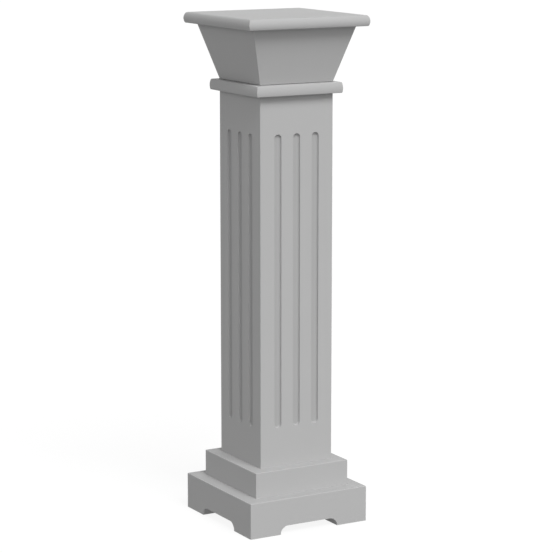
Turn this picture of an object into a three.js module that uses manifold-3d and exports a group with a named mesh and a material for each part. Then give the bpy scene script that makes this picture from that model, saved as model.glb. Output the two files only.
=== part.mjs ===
// Square pedestal: a painted column stand, in millimetres, +Z up, origin under the centre of the
// plinth at floor level. Front is -Y, right is +X.
import * as THREE from 'three';
import { mergeVertices } from 'three/addons/utils/BufferGeometryUtils.js';
import Module from 'manifold-3d';

// Driving dimensions
const BOARD = 16;

const PLINTH_HALF = 99.8;
const PLINTH_HEIGHT = 54.3;
const FOOT_WIDTH = 51;
const CUT_HEIGHT = 12.6;

const STEP_HALF = 79.1;
const STEP_HEIGHT = 38.8;

const LEDGE_ROUND = 1.4;

const SHAFT_HALF = 61.2;
const SHAFT_HEIGHT = 554.6;
const FLUTE_WIDTH = 12;
const FLUTE_PITCH = 31.6;
const FLUTE_DEPTH = 3.4;
const FLUTE_NOSE = 3;
const FLUTE_COUNT = 3;
const FLUTE_BOTTOM = 151.3;
const FLUTE_TOP = 591.5;

const COLLAR_HALF = 72.3;
const COLLAR_NOSE = 26;
const COLLAR_ROUND = 1.4;

const CAPITAL_HEIGHT = 82.3;
const CAPITAL_TOP_HALF = 85.9;

const TOP_HALF = 100.7;
const TOP_NOSE = 14;
const TOP_ROUND = 4;

const EDGE_FULLEST = 7;

const MITRE_GAP = 0.3;

// Levels of the joints between the pieces, from the floor up
const STEP_Z = PLINTH_HEIGHT;
const SHAFT_Z = STEP_Z + STEP_HEIGHT;
const COLLAR_Z = SHAFT_Z + SHAFT_HEIGHT;
const CAPITAL_Z = COLLAR_Z + BOARD;
const TOP_Z = CAPITAL_Z + CAPITAL_HEIGHT;

// Faceting
const ROUND_STEPS = 5;
const EDGE_STEPS = 12;
const COVE_STEPS = 12;
const BIT_SIDES = 24;
const NOSE_STEPS = 4;

// Cutters run this far past what they cut
const OVERRUN = 5;

const paint = (name, color) => new THREE.MeshStandardMaterial({
  name,
  color,
  roughness: 0.85,
  metalness: 0,
});

const wasm = await Module();
wasm.setup();

// A closed solid from a three.js geometry, with the triangles that have shrunk to a line left out
function solidOf(geometry) {
  const bare = geometry.clone();
  bare.deleteAttribute('normal');
  bare.deleteAttribute('uv');
  const merged = mergeVertices(bare, 1e-4);
  const index = merged.index.array;
  const kept = [];
  for (let i = 0; i < index.length; i += 3) {
    const [a, b, c] = [index[i], index[i + 1], index[i + 2]];
    if (a !== b && b !== c && c !== a) kept.push(a, b, c);
  }
  return new wasm.Manifold(new wasm.Mesh({
    numProp: 3,
    vertProperties: new Float32Array(merged.attributes.position.array),
    triVerts: new Uint32Array(kept),
  }));
}

function geometryOf(solid) {
  const mesh = solid.getMesh();
  const geometry = new THREE.BufferGeometry();
  geometry.setAttribute('position', new THREE.BufferAttribute(mesh.vertProperties, 3));
  geometry.setIndex(new THREE.BufferAttribute(mesh.triVerts, 1));
  geometry.computeVertexNormals();
  return geometry;
}

const cut = (body, tools) => tools.reduce((rest, tool) => rest.subtract(tool), body);

// Points of an arc in the (half-width, height) plane, angles in degrees from the half-width axis
function arc(centreX, centreZ, radius, startDegrees, endDegrees, steps) {
  return Array.from({ length: steps + 1 }, (_, i) => {
    const angle = THREE.MathUtils.degToRad(startDegrees + ((endDegrees - startDegrees) * i) / steps);
    return new THREE.Vector2(centreX + radius * Math.cos(angle), centreZ + radius * Math.sin(angle));
  });
}

// A square block whose four edges follow one profile and meet in mitres: a four-sided lathe.
// The profile is the edge from the bottom up, as (half-width, height).
function squareBlock(edge) {
  const bottom = new THREE.Vector2(0, edge[0].y);
  const top = new THREE.Vector2(0, edge[edge.length - 1].y);
  const profile = [bottom, ...edge, top].map((p) => new THREE.Vector2(p.x * Math.SQRT2, p.y));
  return new THREE.LatheGeometry(profile, 4, Math.PI / 4).rotateX(Math.PI / 2);
}

// A plain edge with a rounded top arris
const ledgeEdge = (half, height) => [
  new THREE.Vector2(half, 0),
  ...arc(half - LEDGE_ROUND, height - LEDGE_ROUND, LEDGE_ROUND, 0, 90, ROUND_STEPS),
];

// A shape drawn in X and Z, extruded along Y between the planes y = -reach and y = reach
function alongY(shape, reach, curveSegments) {
  const extrusion = { depth: 2 * reach, bevelEnabled: false, curveSegments };
  const geometry = new THREE.ExtrudeGeometry(shape, extrusion);
  return geometry.translate(0, 0, -reach).rotateX(Math.PI / 2);
}

// Plinth: a block on four square feet, parted by a coved channel each way
function plinthSolid() {
  const opening = PLINTH_HALF - FOOT_WIDTH;
  const channel = new THREE.Shape();
  channel.moveTo(-opening, -OVERRUN);
  channel.lineTo(opening, -OVERRUN);
  channel.lineTo(opening, 0);
  channel.absarc(opening - CUT_HEIGHT, 0, CUT_HEIGHT, 0, Math.PI / 2, false);
  channel.lineTo(CUT_HEIGHT - opening, CUT_HEIGHT);
  channel.absarc(CUT_HEIGHT - opening, 0, CUT_HEIGHT, Math.PI / 2, Math.PI, false);
  const frontToBack = alongY(channel, PLINTH_HALF + OVERRUN, COVE_STEPS);
  const sideToSide = frontToBack.clone().rotateZ(Math.PI / 2);
  const block = squareBlock(ledgeEdge(PLINTH_HALF, PLINTH_HEIGHT));
  return cut(solidOf(block), [solidOf(frontToBack), solidOf(sideToSide)]);
}

// What one of four mitred boards may fill: the quarter of the plan that faces -Y, less half the
// mitre gap on each side
function frontQuarter(reach, bottom, top) {
  const apex = -(MITRE_GAP / 2) * Math.SQRT2;
  const wedge = new THREE.Shape([
    new THREE.Vector2(0, apex),
    new THREE.Vector2(-reach, apex - reach),
    new THREE.Vector2(reach, apex - reach),
  ]);
  const geometry = new THREE.ExtrudeGeometry(wedge, { depth: top - bottom, bevelEnabled: false });
  return geometry.translate(0, 0, bottom);
}

// A board that faces -Y, with its section in (y, z) run along X and both ends mitred
function mitredBoard(section, halfLength, height) {
  const shape = new THREE.Shape(section.map(([y, z]) => new THREE.Vector2(y, z)));
  const run = new THREE.ExtrudeGeometry(shape, { depth: 2 * halfLength, bevelEnabled: false });
  const alongX = new THREE.Matrix4().makeBasis(
    new THREE.Vector3(0, 1, 0),
    new THREE.Vector3(0, 0, 1),
    new THREE.Vector3(1, 0, 0),
  );
  run.translate(0, 0, -halfLength).applyMatrix4(alongX);
  return solidOf(run).intersect(solidOf(frontQuarter(2 * halfLength, -OVERRUN, height + OVERRUN)));
}

// Flute cutter at X = centre: a router bit with a rounded nose, run up the front face from one end of
// the flute to the other. The lathe's Y axis is the bit's own axis, with the tip at FLUTE_DEPTH.
function flute(centre) {
  const radius = FLUTE_WIDTH / 2;
  const profile = [
    new THREE.Vector2(0, -OVERRUN),
    new THREE.Vector2(radius, -OVERRUN),
    ...arc(radius - FLUTE_NOSE, FLUTE_DEPTH - FLUTE_NOSE, FLUTE_NOSE, 0, 90, NOSE_STEPS),
    new THREE.Vector2(0, FLUTE_DEPTH),
  ];
  const bit = solidOf(new THREE.LatheGeometry(profile, BIT_SIDES));
  const bottom = bit.translate([centre, -SHAFT_HALF, FLUTE_BOTTOM - SHAFT_Z + radius]);
  const top = bit.translate([centre, -SHAFT_HALF, FLUTE_TOP - SHAFT_Z - radius]);
  return wasm.Manifold.hull([bottom, top]);
}

// Shaft board: upright, with its flutes
function shaftBoardSolid() {
  const inner = SHAFT_HALF - BOARD;
  const section = [[-SHAFT_HALF, 0], [-inner, 0], [-inner, SHAFT_HEIGHT], [-SHAFT_HALF, SHAFT_HEIGHT]];
  const blank = mitredBoard(section, SHAFT_HALF, SHAFT_HEIGHT);
  const middle = (FLUTE_COUNT - 1) / 2;
  const flutes = Array.from({ length: FLUTE_COUNT }, (_, i) => flute((i - middle) * FLUTE_PITCH));
  return cut(blank, flutes);
}

// Capital board: leans out, and is cut level where it meets the collar and the top board
function capitalBoardSolid() {
  const flare = CAPITAL_TOP_HALF - SHAFT_HALF;
  const levelThickness = (BOARD * Math.hypot(flare, CAPITAL_HEIGHT)) / CAPITAL_HEIGHT;
  const section = [
    [-SHAFT_HALF, 0],
    [levelThickness - SHAFT_HALF, 0],
    [levelThickness - CAPITAL_TOP_HALF, CAPITAL_HEIGHT],
    [-CAPITAL_TOP_HALF, CAPITAL_HEIGHT],
  ];
  return mitredBoard(section, CAPITAL_TOP_HALF, CAPITAL_HEIGHT);
}

// Collar or top board: its moulded edge is one nose, fullest a little under mid height at
// EDGE_FULLEST, and runs into a smaller round at the top
function mouldedBoard(half, nose, round) {
  const underside = THREE.MathUtils.radToDeg(Math.asin(-EDGE_FULLEST / nose));
  const rise = BOARD - round - EDGE_FULLEST;
  const meeting = THREE.MathUtils.radToDeg(Math.asin(rise / (nose - round)));
  const roundX = half - nose + Math.sqrt((nose - round) ** 2 - rise ** 2);
  const full = arc(half - nose, EDGE_FULLEST, nose, underside, meeting, EDGE_STEPS);
  const over = arc(roundX, BOARD - round, round, meeting, 90, ROUND_STEPS);
  return solidOf(squareBlock([...full, ...over.slice(1)]));
}

const grey = paint('grey paint', 0xb2b2b2);

function piece(name, solid, height) {
  const mesh = new THREE.Mesh(geometryOf(solid), grey);
  mesh.name = name;
  mesh.position.z = height;
  return mesh;
}

// Four boards round a square, from the one that faces -Y, turned a quarter each
function boxOfBoards(name, board, height) {
  const box = new THREE.Group();
  ['front', 'right', 'back', 'left'].forEach((side, i) => {
    const turned = new THREE.Group();
    turned.rotation.z = (i * Math.PI) / 2;
    turned.add(piece(`${name}_${side}`, board, height));
    box.add(turned);
  });
  return box;
}

const pedestal = new THREE.Group();
pedestal.add(
  piece('plinth', plinthSolid(), 0),
  piece('step', solidOf(squareBlock(ledgeEdge(STEP_HALF, STEP_HEIGHT))), STEP_Z),
  boxOfBoards('shaft', shaftBoardSolid(), SHAFT_Z),
  piece('collar', mouldedBoard(COLLAR_HALF, COLLAR_NOSE, COLLAR_ROUND), COLLAR_Z),
  boxOfBoards('capital', capitalBoardSolid(), CAPITAL_Z),
  piece('top_board', mouldedBoard(TOP_HALF, TOP_NOSE, TOP_ROUND), TOP_Z),
);

export default pedestal;
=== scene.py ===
"""A square pedestal in painted fibreboard, in a plain soft-lit studio.

The stand is a stepped plinth on four bracket feet, a hollow fluted shaft, a thin collar, a flared
capital and a top board, all sprayed the same light grey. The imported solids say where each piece
stands. Here each one gets its eased arrises, its routed edges and its paint.
"""

import logging
import math
from collections.abc import Iterable, Sequence
from dataclasses import dataclass
from enum import Enum
from functools import cached_property

import bmesh
import bpy
from mathutils import Matrix, Vector


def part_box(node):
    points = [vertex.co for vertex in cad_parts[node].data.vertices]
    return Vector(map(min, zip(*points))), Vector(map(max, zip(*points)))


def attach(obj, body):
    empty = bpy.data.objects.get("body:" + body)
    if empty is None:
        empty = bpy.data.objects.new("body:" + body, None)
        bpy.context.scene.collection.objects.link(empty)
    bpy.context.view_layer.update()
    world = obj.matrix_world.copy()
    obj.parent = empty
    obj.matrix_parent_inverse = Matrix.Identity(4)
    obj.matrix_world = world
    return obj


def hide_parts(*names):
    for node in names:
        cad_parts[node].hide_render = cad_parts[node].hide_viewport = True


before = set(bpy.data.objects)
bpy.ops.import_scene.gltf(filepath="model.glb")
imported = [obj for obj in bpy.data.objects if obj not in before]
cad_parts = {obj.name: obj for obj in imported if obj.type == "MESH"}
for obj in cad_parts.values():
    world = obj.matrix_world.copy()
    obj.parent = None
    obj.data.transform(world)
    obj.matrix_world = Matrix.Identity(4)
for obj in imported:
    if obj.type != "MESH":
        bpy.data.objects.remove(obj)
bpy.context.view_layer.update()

LOG = logging.getLogger("pedestal")
MM = 0.001
UPRIGHT = Vector((0.0, 0.0, 1.0))
SIDES = 4
WHITE = (1.0, 1.0, 1.0, 1.0)

# Points nearer than WELD are one point. An edge lies along an axis if the cosine between them is over
# PARALLEL. Faces that meet by less than COPLANAR are one flat face, and by more than CREASE they meet
# in a sharp line.
WELD = 0.002 * MM
PARALLEL = 0.999
COPLANAR = math.radians(0.5)
CREASE = math.radians(50)

BODY = "root"


class Surface(Enum):
    """How the board under the paint was worked. A routed face's paint is darker as painted shade.
    The value is the material's place on a piece.
    """

    SANDED = 0
    ROUTED = 1


def linear(hex_colour: str) -> tuple[float, float, float, float]:
    """Turns an sRGB hex colour into the linear colour that a shader takes.

    Args:
        hex_colour: Six hex digits after a hash sign.

    Returns:
        Red, green, blue and an alpha of one.
    """
    channels = [int(hex_colour[i : i + 2], 16) / 255 for i in (1, 3, 5)]
    red, green, blue = (c / 12.92 if c <= 0.04045 else ((c + 0.055) / 1.055) ** 2.4 for c in channels)
    return red, green, blue, 1.0


def add_node(
    tree: bpy.types.NodeTree,
    kind: str,
    links: dict[str | int, object] | None = None,
    **settings: object,
) -> bpy.types.Node:
    """Adds one node with its settings and links.

    Args:
        tree: The node tree that it joins.
        kind: The node's type name.
        links: Input name or number to the output socket that feeds it, or to a plain value.
        **settings: Properties of the node itself.

    Returns:
        The new node.
    """
    node = tree.nodes.new(kind)
    for name, value in settings.items():
        setattr(node, name, value)
    for key, value in (links or {}).items():
        if isinstance(value, bpy.types.NodeSocket):
            tree.links.new(value, node.inputs[key])
        else:
            node.inputs[key].default_value = value
    return node


@dataclass(frozen=True)
class SprayedPaint:
    """Matt water-borne furniture paint, sprayed on fibreboard.

    It is an opaque dielectric. To the eye it is one even grey with the faint dimpling of a sprayed
    film, called orange peel, and almost no sheen. In flutes and channels the cutter has opened the
    board's core and no sandpaper reaches between coats, so the film there is flatter and shows the
    ends of the fibres. Its colour there is a little darker as painted shade for those recesses.

    Attributes:
        name: The material's name.
        light: Its colour where it is lightest, as sRGB hex.
        dark: Its colour where it is darkest.
        roughness_low: Roughness where it is smoothest.
        roughness_high: Roughness where it is flattest.
        peel_spacing_mm: From one dimple of the orange peel to the next.
        peel_depth_mm: How deep the dimples are.
        fibre_spacing_mm: From one fibre end to the next.
        fibre_depth_mm: How far the fibre ends stand up.
        ior: Index of refraction of the dried paint.
        cloud_spacing_mm: From one lighter area to the next.
    """

    name: str
    light: str
    dark: str
    roughness_low: float
    roughness_high: float
    peel_spacing_mm: float
    peel_depth_mm: float
    fibre_spacing_mm: float
    fibre_depth_mm: float
    ior: float = 1.45
    cloud_spacing_mm: float = 70.0

    def material(self) -> bpy.types.Material:
        """Builds the material's nodes.

        Returns:
            The material, ready to go into a mesh's slot.
        """
        made = bpy.data.materials.new(self.name)
        made.use_nodes = True
        tree = made.node_tree
        tree.nodes.clear()
        place = add_node(tree, "ShaderNodeTexCoord").outputs["Object"]
        clouds = self.pattern(tree, place, self.cloud_spacing_mm, detail=3.0)
        peel = self.pattern(tree, place, self.peel_spacing_mm, detail=1.0)
        fibre = self.pattern(tree, place, self.fibre_spacing_mm, detail=4.0)
        tone = add_node(
            tree,
            "ShaderNodeMix",
            {0: clouds, 6: linear(self.dark), 7: linear(self.light)},
            data_type="RGBA",
        )
        sheen = add_node(
            tree,
            "ShaderNodeMapRange",
            {"Value": clouds, "To Min": self.roughness_low, "To Max": self.roughness_high},
        )
        dimples = add_node(
            tree,
            "ShaderNodeBump",
            {"Height": peel, "Strength": 1.0, "Distance": self.peel_depth_mm * MM},
        )
        ends = add_node(
            tree,
            "ShaderNodeBump",
            {
                "Height": fibre,
                "Strength": 1.0,
                "Distance": self.fibre_depth_mm * MM,
                "Normal": dimples.outputs["Normal"],
            },
        )
        film = add_node(
            tree,
            "ShaderNodeBsdfPrincipled",
            {
                "Base Color": tone.outputs[2],
                "Roughness": sheen.outputs["Result"],
                "IOR": self.ior,
                "Normal": ends.outputs["Normal"],
            },
        )
        add_node(tree, "ShaderNodeOutputMaterial", {"Surface": film.outputs["BSDF"]})
        return made

    @staticmethod
    def pattern(
        tree: bpy.types.NodeTree, place: bpy.types.NodeSocket, spacing_mm: float, detail: float
    ) -> bpy.types.NodeSocket:
        """Adds a noise whose bumps are about spacing_mm apart.

        Args:
            tree: The material's node tree.
            place: Coordinates in metres.
            spacing_mm: Mean distance between bumps, in millimetres.
            detail: Octaves of finer noise on top.

        Returns:
            The noise's value, from 0 to 1.
        """
        noise = add_node(
            tree,
            "ShaderNodeTexNoise",
            {"Vector": place, "Scale": 1 / (spacing_mm * MM), "Detail": detail, "Roughness": 0.5},
        )
        return noise.outputs["Fac"]


# The same paint on sanded faces and in routed recesses, where it is also a little darker as
# painted shade. Orange peel on sprayed furniture is 1 to 3 mm from crest to crest and some
# hundredths of a millimetre deep. A fibre end is finer than the render can show, so it is drawn
# 0.6 mm apart.
SANDED_FACE = SprayedPaint(
    name="matt paint sprayed on sanded fibreboard",
    light="#b2b2b2",
    dark="#afafaf",
    roughness_low=0.84,
    roughness_high=0.90,
    peel_spacing_mm=2.2,
    peel_depth_mm=0.02,
    fibre_spacing_mm=0.6,
    fibre_depth_mm=0.002,
)
# Darker than the sanded face as painted shade in the flutes and channels. Its higher roughness and
# raised fibre ends are the routed core's own finish.
ROUTED_CORE_IN_PAINTED_SHADE = SprayedPaint(
    name="matt paint sprayed on routed fibreboard core",
    light="#acacac",
    dark="#a8a8a8",
    roughness_low=0.88,
    roughness_high=0.94,
    peel_spacing_mm=2.2,
    peel_depth_mm=0.012,
    fibre_spacing_mm=0.6,
    fibre_depth_mm=0.008,
)


def upright_corners(bm: bmesh.types.BMesh, half: float) -> list[bmesh.types.BMEdge]:
    """Finds the upright arrises at the corners of a square form.

    Args:
        bm: The mesh.
        half: Half the form's width, in metres.

    Returns:
        The edges that run up its four corners.
    """

    def at_corner(edge: bmesh.types.BMEdge) -> bool:
        """Tells whether an edge starts at a corner of the plan."""
        return min(abs(edge.verts[0].co.x), abs(edge.verts[0].co.y)) > half - WELD

    def is_upright(edge: bmesh.types.BMEdge) -> bool:
        """Tells whether an edge runs straight up."""
        run = edge.verts[1].co - edge.verts[0].co
        return run.length > WELD and abs(run.normalized().dot(UPRIGHT)) > PARALLEL

    return [e for e in bm.edges if is_upright(e) and at_corner(e)]


def ease(
    bm: bmesh.types.BMesh,
    edges: Iterable[bmesh.types.BMEdge],
    radius_mm: float,
    steps: int,
) -> None:
    """Rounds arrises over.

    Args:
        bm: The mesh being shaped.
        edges: The arrises.
        radius_mm: How far back from the arris the round starts.
        steps: Facets across the round.
    """
    bmesh.ops.bevel(
        bm,
        geom=list(edges),
        offset=radius_mm * MM,
        offset_type="OFFSET",
        segments=steps,
        profile=0.5,
        affect="EDGES",
        clamp_overlap=True,
        material=-1,
    )


def bisect(bm: bmesh.types.BMesh, through: Vector, normal: Vector) -> None:
    """Cuts every face where a plane crosses it, and keeps both sides."""
    bmesh.ops.bisect_plane(
        bm, geom=bm.verts[:] + bm.edges[:] + bm.faces[:], dist=WELD, plane_co=through, plane_no=normal
    )


def square_turned(bm: bmesh.types.BMesh, section: Sequence[Vector], closed: bool) -> None:
    """Spins a section round the upright axis in four steps, which leaves a square with mitred corners.

    Args:
        bm: An empty mesh.
        section: Points (half-width, height) in metres, from the bottom up.
        closed: True if the section joins up into a ring, so that the form is a hollow tube.
    """
    verts = [bm.verts.new((p.x, p.x, p.y)) for p in section]
    pairs = list(zip(verts, verts[1:]))
    if closed:
        pairs.append((verts[-1], verts[0]))
    edges = [bm.edges.new(pair) for pair in pairs]
    bmesh.ops.spin(
        bm,
        geom=verts + edges,
        cent=(0.0, 0.0, 0.0),
        axis=UPRIGHT,
        dvec=(0.0, 0.0, 0.0),
        angle=2 * math.pi,
        steps=SIDES,
        use_merge=True,
        use_duplicate=False,
    )
    bmesh.ops.remove_doubles(bm, verts=bm.verts[:], dist=WELD)
    if not closed:
        bmesh.ops.holes_fill(bm, edges=[e for e in bm.edges if e.is_boundary], sides=0)
    bmesh.ops.recalc_face_normals(bm, faces=bm.faces[:])


def arc(centre: Vector, radius: float, start: float, end: float, steps: int) -> list[Vector]:
    """Points of an arc in a section.

    Args:
        centre: Its centre (half-width, height) in metres.
        radius: In metres.
        start: Angle of the first point from the half-width axis, in radians.
        end: Angle of the last point.
        steps: Chords along the arc.

    Returns:
        The points, from first to last.
    """
    angles = [start + (end - start) * i / steps for i in range(steps + 1)]
    return [centre + radius * Vector((math.cos(a), math.sin(a))) for a in angles]


def direction(azimuth_degrees: float, elevation_degrees: float) -> Vector:
    """Works out which way something lies from the stand.

    Args:
        azimuth_degrees: Turn round the stand from its front, to the right if positive.
        elevation_degrees: Height above the horizon.

    Returns:
        A vector of length one, from the stand outwards.
    """
    turn, tilt = math.radians(azimuth_degrees), math.radians(elevation_degrees)
    return Vector((math.sin(turn) * math.cos(tilt), -math.cos(turn) * math.cos(tilt), math.sin(tilt)))


@dataclass
class Piece:
    """One dressed piece of the stand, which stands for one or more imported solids.

    Attributes:
        name: The piece's name.
        nodes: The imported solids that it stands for.
        arris_mm: Round on its plain arrises.
        arris_steps: Facets across that round.
    """

    name: str
    nodes: tuple[str, ...]
    arris_mm: float = 0.3
    arris_steps: int = 3

    @cached_property
    def low(self) -> Vector:
        """Lowest corner of the solids that it stands for, in metres."""
        corners = [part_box(node)[0] for node in self.nodes]
        return Vector([min(c[i] for c in corners) for i in range(3)])

    @cached_property
    def high(self) -> Vector:
        """Highest corner of the solids that it stands for, in metres."""
        corners = [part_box(node)[1] for node in self.nodes]
        return Vector([max(c[i] for c in corners) for i in range(3)])

    @property
    def half(self) -> float:
        """Half the width of its square plan, in metres."""
        return self.high.x

    def shape(self, bm: bmesh.types.BMesh) -> None:
        """Builds the piece in an empty mesh."""
        raise NotImplementedError

    def is_routed_in_painted_shade(self, face: bmesh.types.BMFace) -> bool:
        """Tells whether a face was cut by a router, where its paint is darker as painted shade. The
        plain piece has none.
        """
        return False

    def build(self, finishes: dict[Surface, bpy.types.Material]) -> bpy.types.Object:
        """Makes the piece's object and ties it to the frame.

        Args:
            finishes: The material for each kind of surface.

        Returns:
            The finished object.
        """
        bm = bmesh.new()
        self.shape(bm)
        bmesh.ops.remove_doubles(bm, verts=bm.verts[:], dist=WELD)
        bmesh.ops.recalc_face_normals(bm, faces=bm.faces[:])
        for face in bm.faces:
            face.smooth = True
            # Faces in routed recesses get the darker paint, which is painted shade there.
            face.material_index = Surface.ROUTED.value if self.is_routed_in_painted_shade(face) else Surface.SANDED.value
        for edge in bm.edges:
            edge.smooth = edge.calc_face_angle(0.0) < CREASE
        open_edges = sum(not e.is_manifold for e in bm.edges)
        mesh = bpy.data.meshes.new(self.name)
        bm.to_mesh(mesh)
        bm.free()
        for surface in Surface:
            mesh.materials.append(finishes[surface])
        piece = bpy.data.objects.new(self.name, mesh)
        bpy.context.scene.collection.objects.link(piece)
        normals = piece.modifiers.new("flat faces stay flat", "WEIGHTED_NORMAL")
        normals.mode = "FACE_AREA"
        normals.keep_sharp = True
        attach(piece, BODY)
        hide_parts(*self.nodes)
        LOG.info("%s: %d faces, %d open edges", self.name, len(mesh.polygons), open_edges)
        return piece


@dataclass
class Ledge(Piece):
    """A square block whose top arris is rounded enough to catch the light.

    Attributes:
        ledge_mm: Round along the four top arrises.
        ledge_steps: Facets across that round.
    """

    ledge_mm: float = 1.4
    ledge_steps: int = 5

    def shape(self, bm: bmesh.types.BMesh) -> None:
        """Builds the block and eases it.

        Args:
            bm: An empty mesh.
        """
        low, high = self.low, self.high
        bmesh.ops.create_cube(bm, size=1.0)
        bmesh.ops.scale(bm, vec=high - low, verts=bm.verts[:])
        bmesh.ops.translate(bm, vec=(high + low) / 2, verts=bm.verts[:])
        self.cut_underside(bm)
        self.ease_arrises(bm)

    def cut_underside(self, bm: bmesh.types.BMesh) -> None:
        """A plain block keeps its flat underside."""

    def ease_arrises(self, bm: bmesh.types.BMesh) -> None:
        """Rounds the top arrises, then the upright ones.

        Args:
            bm: The mesh of the block.
        """
        top = self.high.z - WELD
        ledge = [e for e in bm.edges if all(v.co.z > top for v in e.verts)]
        ease(bm, ledge, self.ledge_mm, self.ledge_steps)
        ease(bm, upright_corners(bm, self.half), self.arris_mm, self.arris_steps)


@dataclass
class Plinth(Ledge):
    """The base block, with a coved channel each way that leaves four square feet.

    Attributes:
        foot_mm: Width of a foot where it stands.
        cut_mm: Height of the channels, which is also the radius of their coves.
        cove_steps: Facets round a cove.
    """

    foot_mm: float = 51.0
    cut_mm: float = 12.6
    cove_steps: int = 16

    def channel_lines(self) -> list[tuple[float, float]]:
        """Lines across one side of a channel, from its cove's foot to its flat ceiling.

        Returns:
            Pairs of distance from the middle and height above the floor, in metres.
        """
        radius = self.cut_mm * MM
        centre = Vector((self.half - self.foot_mm * MM - radius, 0.0))
        return [(p.x, p.y) for p in arc(centre, radius, 0.0, math.pi / 2, self.cove_steps)]

    def cut_underside(self, bm: bmesh.types.BMesh) -> None:
        """Lifts the underside into two crossing channels.

        Args:
            bm: The mesh of the block.
        """
        lines = self.channel_lines()
        for place, _ in lines:
            for side in (-1, 1):
                for axis in (Vector((side, 0.0, 0.0)), Vector((0.0, side, 0.0))):
                    bisect(bm, axis * place, axis)
        for diagonal in (Vector((1.0, 1.0, 0.0)), Vector((1.0, -1.0, 0.0))):
            bisect(bm, Vector((0.0, 0.0, 0.0)), diagonal)

        def ceiling(offset: float) -> float:
            """Works out a channel's height.

            Args:
                offset: Distance from the channel's middle, in metres.

            Returns:
                The height above the floor, which is nothing beside the channel.
            """
            near = min(lines, key=lambda line: abs(line[0] - abs(offset)))
            if abs(near[0] - abs(offset)) < WELD:
                return near[1]
            return self.cut_mm * MM if abs(offset) < lines[0][0] else 0.0

        floor = self.low.z
        for vert in bm.verts:
            if vert.co.z < floor + WELD:
                vert.co.z = floor + max(ceiling(vert.co.x), ceiling(vert.co.y))
        bmesh.ops.remove_doubles(bm, verts=bm.verts[:], dist=WELD)
        bmesh.ops.dissolve_limit(
            bm,
            angle_limit=COPLANAR,
            use_dissolve_boundaries=False,
            verts=bm.verts[:],
            edges=bm.edges[:],
        )

    def is_routed_in_painted_shade(self, face: bmesh.types.BMFace) -> bool:
        """Tells whether a face is in a channel, where the paint is darker as painted shade.

        Args:
            face: A face of the finished plinth.

        Returns:
            True for the coves, the ceilings and the feet's undersides, none of which is sanded.
        """
        middle = face.calc_center_median()
        return middle.z < self.cut_mm * MM + WELD and max(abs(middle.x), abs(middle.y)) < self.half - MM


@dataclass
class MouldedBoard(Piece):
    """The collar or the top board. Its moulded edge goes round all four sides and meets in mitres.

    The edge is one full nose, with a smaller round where it meets the top and another under it.

    Attributes:
        nose_mm: Radius of the nose.
        over_mm: Radius of the round at the top.
        under_mm: Radius of the round at the underside.
        fullest_mm: Height of the nose's fullest line above the underside.
        nose_steps: Facets round the nose.
        over_steps: Facets round the top round.
        under_steps: Facets round the lower round.
        mitre_steps: Facets across the eased mitres.
    """

    nose_mm: float = 14.0
    over_mm: float = 4.0
    under_mm: float = 1.0
    fullest_mm: float = 7.0
    nose_steps: int = 18
    over_steps: int = 8
    under_steps: int = 5
    mitre_steps: int = 2

    def edge(self) -> list[Vector]:
        """Works out the edge's section.

        Returns:
            Points (half-width, height) in metres, from the bottom up.
        """
        nose, over, under = self.nose_mm * MM, self.over_mm * MM, self.under_mm * MM
        centre = Vector((self.half - nose, self.low.z + self.fullest_mm * MM))
        lower = -math.asin((centre.y - self.low.z - under) / (nose - under))
        upper = math.asin((self.high.z - over - centre.y) / (nose - over))
        under_centre = centre + (nose - under) * Vector((math.cos(lower), math.sin(lower)))
        over_centre = centre + (nose - over) * Vector((math.cos(upper), math.sin(upper)))
        curve = arc(under_centre, under, -math.pi / 2, lower, self.under_steps)
        curve += arc(centre, nose, lower, upper, self.nose_steps)[1:]
        return curve + arc(over_centre, over, upper, math.pi / 2, self.over_steps)[1:]

    def shape(self, bm: bmesh.types.BMesh) -> None:
        """Turns the edge into a board and takes the sharpness off its mitres.

        Args:
            bm: An empty mesh.
        """
        square_turned(bm, self.edge(), closed=False)
        mitres = [e for e in bm.edges if all(abs(abs(v.co.x) - abs(v.co.y)) < WELD for v in e.verts)]
        ease(bm, mitres, self.arris_mm, self.mitre_steps)


@dataclass
class Capital(Piece):
    """The hollow flared capital: four boards that lean out, mitred and filled.

    Attributes:
        foot_half_mm: Half its width where it stands on the collar.
        board_mm: Thickness of its boards.
        relief_mm: Chamfer along its foot, which leaves a fine dark line over the collar.
    """

    foot_half_mm: float = 61.2
    board_mm: float = 16.0
    relief_mm: float = 0.9

    def shape(self, bm: bmesh.types.BMesh) -> None:
        """Turns the section of one leaning board into the square hollow capital.

        Args:
            bm: An empty mesh.
        """
        low, high = self.low, self.high
        foot = self.foot_half_mm * MM
        flare, rise = self.half - foot, high.z - low.z
        level = self.board_mm * MM * math.hypot(flare, rise) / rise
        relief = self.relief_mm * MM
        section = [
            Vector((foot - relief, low.z)),
            Vector((foot + flare * relief / rise, low.z + relief)),
            Vector((self.half, high.z)),
            Vector((self.half - level, high.z)),
            Vector((foot - level, low.z)),
        ]
        square_turned(bm, section, closed=True)
        outside = [
            e
            for e in bm.edges
            if e.verts[0].co.z != e.verts[1].co.z and all(abs(v.co.x) > foot - WELD for v in e.verts)
        ]
        ease(bm, outside, self.arris_mm, self.arris_steps)


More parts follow.
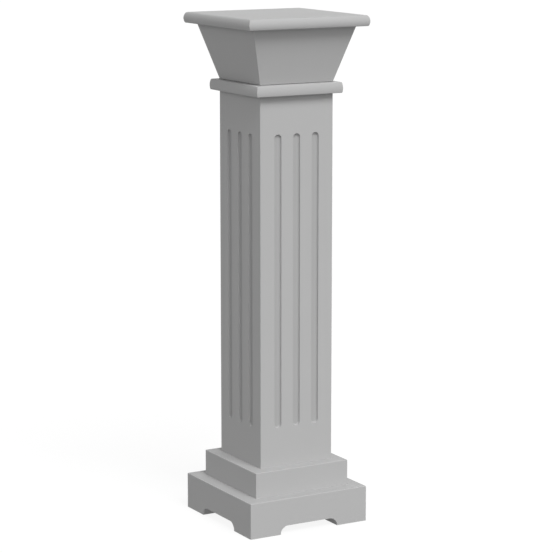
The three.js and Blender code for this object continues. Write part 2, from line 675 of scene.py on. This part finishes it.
@dataclass
class Shaft(Piece):
    """The hollow shaft: four fluted boards, mitred and filled.

    Attributes:
        board_mm: Thickness of its boards.
        flute_count: Flutes on each side.
        flute_width_mm: Width of a flute.
        flute_pitch_mm: From the middle of one flute to the next.
        flute_depth_mm: Depth of a flute's flat floor.
        nose_mm: Radius at the nose of the cutter, which rounds a flute's floor into its walls.
        flute_bottom_mm: Height of a flute's lower end above the floor.
        flute_top_mm: Height of its upper end.
        rim_mm: Round on a flute's rim.
        rim_steps: Facets across that round.
        nose_steps: Facets round the inner corner that the nose leaves.
        end_steps: Facets round a flute's end.
    """

    board_mm: float = 16.0
    flute_count: int = 3
    flute_width_mm: float = 12.0
    flute_pitch_mm: float = 31.6
    flute_depth_mm: float = 3.4
    nose_mm: float = 3.0
    flute_bottom_mm: float = 151.3
    flute_top_mm: float = 591.5
    rim_mm: float = 0.3
    rim_steps: int = 3
    nose_steps: int = 7
    end_steps: int = 24

    def shape(self, bm: bmesh.types.BMesh) -> None:
        """Makes one side with its flutes, turns it into four and closes the tube inside.

        Args:
            bm: An empty mesh.
        """
        low, high, half = self.low, self.high, self.half
        stood_up = Matrix.Rotation(math.pi / 2, 3, "X")
        bmesh.ops.create_grid(bm, x_segments=1, y_segments=1, size=1.0)
        bmesh.ops.scale(bm, vec=(half, (high.z - low.z) / 2, 1.0), verts=bm.verts[:])
        bmesh.ops.rotate(bm, cent=(0.0, 0.0, 0.0), matrix=stood_up, verts=bm.verts[:])
        bmesh.ops.translate(bm, vec=(0.0, -half, (high.z + low.z) / 2), verts=bm.verts[:])
        self.sink_flutes(bm)
        self.turn_sides(bm)
        self.close_inside(bm)

    def centres(self) -> list[float]:
        """Middles of the flutes across one side, in metres."""
        first = -(self.flute_count - 1) / 2
        return [(first + i) * self.flute_pitch_mm * MM for i in range(self.flute_count)]

    def flute_section(self) -> list[tuple[float, float]]:
        """Half of a flute's section, from its rim on the flat side to the edge of its floor.

        Returns:
            Pairs of distance in from the rim and depth, in metres.
        """
        rim, nose, depth = self.rim_mm * MM, self.nose_mm * MM, self.flute_depth_mm * MM
        over = arc(Vector((0.0, rim)), rim, -math.pi / 2, 0.0, self.rim_steps)
        under = arc(Vector((rim + nose, depth - nose)), nose, math.pi, math.pi / 2, self.nose_steps)
        return [(p.x, p.y) for p in over + under]

    def sink_flutes(self, bm: bmesh.types.BMesh) -> None:
        """Outlines the flutes on the flat side and sinks them along their section.

        Args:
            bm: The mesh of one flat side.
        """
        radius = self.flute_width_mm * MM / 2
        straight_low = self.flute_bottom_mm * MM + radius
        straight_high = self.flute_top_mm * MM - radius
        for height in (straight_low, straight_high):
            bisect(bm, UPRIGHT * height, UPRIGHT)
        for centre in self.centres():
            for i in range(self.end_steps + 1):
                place = centre - radius * math.cos(math.pi * i / self.end_steps)
                bisect(bm, Vector((place, 0.0, 0.0)), Vector((1.0, 0.0, 0.0)))

        def reach(x: float) -> float:
            """How far a flute's round end runs past its straight part at this x."""
            nearest = min(abs(x - centre) for centre in self.centres())
            return math.sqrt(max(0.0, radius**2 - nearest**2))

        def in_flute(face: bmesh.types.BMFace) -> bool:
            """Tells whether a face lies between a flute's two ends."""
            middle = face.calc_center_median()
            return straight_low < middle.z < straight_high and reach(middle.x) > 0

        inside = [f for f in bm.faces if in_flute(f)]
        for vert in bm.verts:
            if abs(vert.co.z - straight_low) < WELD:
                vert.co.z -= reach(vert.co.x)
            elif abs(vert.co.z - straight_high) < WELD:
                vert.co.z += reach(vert.co.x)
        reached = (0.0, 0.0)
        for inset, depth in self.flute_section()[1:]:
            bmesh.ops.inset_region(
                bm,
                faces=inside,
                use_boundary=True,
                use_even_offset=True,
                thickness=inset - reached[0],
                depth=reached[1] - depth,
            )
            reached = (inset, depth)
        bmesh.ops.dissolve_faces(bm, faces=inside, use_verts=False)

    def turn_sides(self, bm: bmesh.types.BMesh) -> None:
        """Repeats the side round the shaft, welds the corners and eases them.

        Args:
            bm: The mesh of one fluted side.
        """
        bmesh.ops.spin(
            bm,
            geom=bm.verts[:] + bm.edges[:] + bm.faces[:],
            cent=(0.0, 0.0, 0.0),
            axis=UPRIGHT,
            dvec=(0.0, 0.0, 0.0),
            angle=2 * math.pi * (SIDES - 1) / SIDES,
            steps=SIDES - 1,
            use_merge=False,
            use_duplicate=True,
        )
        bmesh.ops.remove_doubles(bm, verts=bm.verts[:], dist=WELD)
        bmesh.ops.recalc_face_normals(bm, faces=bm.faces[:])
        ease(bm, upright_corners(bm, self.half), self.arris_mm, self.arris_steps)

    def close_inside(self, bm: bmesh.types.BMesh) -> None:
        """Turns both ends in to the boards' thickness and joins them with plain inner walls.

        Args:
            bm: The mesh of the four outer sides.
        """
        inward = 1 - self.board_mm * MM / self.half
        inner: list[bmesh.types.BMEdge] = []
        for end in (self.low.z, self.high.z):
            open_edges = [e for e in bm.edges if e.is_boundary]
            rim = [e for e in open_edges if all(abs(v.co.z - end) < WELD for v in e.verts)]
            grown = bmesh.ops.extrude_edge_only(bm, edges=rim)["geom"]
            verts = [g for g in grown if isinstance(g, bmesh.types.BMVert)]
            bmesh.ops.scale(bm, vec=(inward, inward, 1.0), verts=verts)
            inner += [g for g in grown if isinstance(g, bmesh.types.BMEdge) and g.is_boundary]
        bmesh.ops.bridge_loops(bm, edges=inner)

    def is_routed_in_painted_shade(self, face: bmesh.types.BMFace) -> bool:
        """Tells whether a face is in a flute, where the paint is darker as painted shade.

        Args:
            face: A face of the finished shaft.

        Returns:
            True for the flutes' floors, walls and rims.
        """
        middle = face.calc_center_median()
        depth = self.half - max(abs(middle.x), abs(middle.y))
        in_height = self.flute_bottom_mm * MM < middle.z < self.flute_top_mm * MM
        return in_height and WELD < depth < self.flute_depth_mm * MM + WELD


@dataclass(frozen=True)
class PhotoView:
    """The camera, at the photograph's angle.

    Attributes:
        azimuth_degrees: Turn round the stand from its front, to the left if negative.
        elevation_degrees: Tilt above the horizon.
        distance: From the aim point, in metres.
        aim: The point at the middle of the frame.
        lens_mm: Focal length on a sensor of sensor_mm.
        sensor_mm: Width of the sensor.
        nearest: Where the view starts, in metres from the camera.
        farthest: Where it ends.
    """

    azimuth_degrees: float = -29.87
    elevation_degrees: float = 10.49
    distance: float = 3.348
    aim: tuple[float, float, float] = (0.0008, -0.0005, 0.3689)
    lens_mm: float = 145.2
    sensor_mm: float = 36.0
    nearest: float = 0.05
    farthest: float = 200.0

    def build(self) -> bpy.types.Object:
        """Makes the camera and gives it to the scene.

        Returns:
            The camera object.
        """
        back = direction(self.azimuth_degrees, self.elevation_degrees)
        lens = bpy.data.cameras.new("photo view")
        lens.sensor_width, lens.lens = self.sensor_mm, self.lens_mm
        lens.clip_start, lens.clip_end = self.nearest, self.farthest
        camera = bpy.data.objects.new("photo view", lens)
        camera.location = Vector(self.aim) + back * self.distance
        camera.rotation_euler = (-back).to_track_quat("-Z", "Y").to_euler()
        bpy.context.scene.collection.objects.link(camera)
        bpy.context.scene.camera = camera
        return camera


@dataclass(frozen=True)
class SoftLight:
    """A broad distant softbox.

    Attributes:
        name: Which light it is.
        azimuth_degrees: Where it stands, round from the stand's front, to the right if positive.
        elevation_degrees: Its height above the horizon.
        spread_degrees: How wide it looks from the stand.
        strength: Irradiance on a surface that faces it.
        distance: Where its marker is drawn, in metres. Its light doesn't depend on that.
    """

    name: str
    azimuth_degrees: float
    elevation_degrees: float
    spread_degrees: float
    strength: float
    distance: float = 3.0

    def build(self) -> bpy.types.Object:
        """Makes the light and points it at the stand.

        Returns:
            The light object.
        """
        towards = direction(self.azimuth_degrees, self.elevation_degrees)
        lamp = bpy.data.lights.new(self.name, "SUN")
        lamp.energy, lamp.angle = self.strength, math.radians(self.spread_degrees)
        light = bpy.data.objects.new(self.name, lamp)
        light.location = towards * self.distance
        light.rotation_euler = towards.to_track_quat("Z", "Y").to_euler()
        bpy.context.scene.collection.objects.link(light)
        return light


@dataclass(frozen=True)
class Studio:
    """A light tent: a white floor, bright walls, a dimmer ceiling, a key softbox and a weak one behind.

    Attributes:
        from_floor: Brightness of what is below the horizon, as it lights the stand.
        from_walls: The same for the walls.
        from_ceiling: The same for the ceiling.
        wall_top_degrees: How high the walls reach above the horizon.
        softness: Half the soft band between two of them, as a sine of height.
        surround: Brightness of the surround as it is seen.
        floor_colour: How the floor answers light from above, dull so that the stand's shadow is faint.
        floor_glow: How far it is lit from below, which makes up a full white with the light above.
        floor_roughness: How matt the floor is.
        floor_half: Half the floor's width, in metres.
        lights: The softboxes.
    """

    from_floor: float = 0.33
    from_walls: float = 0.92
    from_ceiling: float = 0.28
    wall_top_degrees: float = 30.0
    softness: float = 0.02
    surround: float = 1.0
    floor_colour: str = "#606060"
    floor_glow: float = 0.89
    floor_roughness: float = 0.9
    floor_half: float = 40.0
    lights: tuple[SoftLight, ...] = (
        SoftLight("key softbox", 0.0, 50.0, 30.0, 2.49),
        SoftLight("back softbox", 150.0, 15.0, 60.0, 0.5),
    )

    def build(self) -> None:
        """Makes the surround, the floor and the lights."""
        self.make_surround()
        self.make_floor()
        for light in self.lights:
            light.build()
        view = bpy.context.scene.view_settings
        view.view_transform = "Standard"
        view.look = "None"

    def make_surround(self) -> None:
        """Makes the floor's, the walls' and the ceiling's light, behind an even white that is seen."""
        world = bpy.data.worlds.new("light tent")
        world.use_nodes = True
        tree = world.node_tree
        tree.nodes.clear()
        towards = add_node(tree, "ShaderNodeTexCoord").outputs["Generated"]
        rise = add_node(tree, "ShaderNodeSeparateXYZ", {0: towards}).outputs["Z"]
        wall_top = math.sin(math.radians(self.wall_top_degrees))
        level = self.from_floor
        for edge, brightness in ((0.0, self.from_walls), (wall_top, self.from_ceiling)):
            step = add_node(
                tree,
                "ShaderNodeMapRange",
                {
                    "Value": rise,
                    "From Min": edge - self.softness,
                    "From Max": edge + self.softness,
                    "To Min": level,
                    "To Max": brightness,
                },
            )
            level = step.outputs["Result"]
        lighting = add_node(tree, "ShaderNodeBackground", {"Color": WHITE, "Strength": level})
        seen = add_node(tree, "ShaderNodeBackground", {"Color": WHITE, "Strength": self.surround})
        ray = add_node(tree, "ShaderNodeLightPath")
        both = add_node(
            tree,
            "ShaderNodeMixShader",
            {0: ray.outputs["Is Camera Ray"], 1: lighting.outputs[0], 2: seen.outputs[0]},
        )
        add_node(tree, "ShaderNodeOutputWorld", {"Surface": both.outputs[0]})
        bpy.context.scene.world = world

    def make_floor(self) -> None:
        """Makes the floor. It is seen but lights nothing, because the surround does that."""
        bm = bmesh.new()
        bmesh.ops.create_grid(bm, x_segments=1, y_segments=1, size=self.floor_half)
        mesh = bpy.data.meshes.new("studio_floor")
        bm.to_mesh(mesh)
        bm.free()
        paint = bpy.data.materials.new("matt white studio floor")
        paint.use_nodes = True
        film = paint.node_tree.nodes["Principled BSDF"]
        film.inputs["Base Color"].default_value = linear(self.floor_colour)
        film.inputs["Roughness"].default_value = self.floor_roughness
        film.inputs["Specular IOR Level"].default_value = 0.0
        film.inputs["Emission Color"].default_value = WHITE
        film.inputs["Emission Strength"].default_value = self.floor_glow
        mesh.materials.append(paint)
        floor = bpy.data.objects.new("studio_floor", mesh)
        floor.visible_diffuse = False
        floor.visible_glossy = False
        floor.visible_shadow = False
        bpy.context.scene.collection.objects.link(floor)


def ring(form: str) -> tuple[str, ...]:
    """Names of the four boards that make a hollow form."""
    return tuple(f"{form}_{side}" for side in ("front", "right", "back", "left"))


def main() -> None:
    """Builds the camera, the studio and the stand, from the floor up."""
    logging.basicConfig(level=logging.INFO, format="%(message)s")
    PhotoView().build()
    Studio().build()
    finishes = {Surface.SANDED: SANDED_FACE.material(), Surface.ROUTED: ROUTED_CORE_IN_PAINTED_SHADE.material()}
    stand = [
        Plinth("painted_plinth", ("plinth",)),
        Ledge("painted_step", ("step",)),
        Shaft("painted_shaft", ring("shaft")),
        MouldedBoard("painted_collar", ("collar",), nose_mm=26.0, over_mm=1.4),
        Capital("painted_capital", ring("capital")),
        MouldedBoard("painted_top_board", ("top_board",)),
    ]
    for piece in stand:
        piece.build(finishes)


if __name__ == "__main__":
    main()
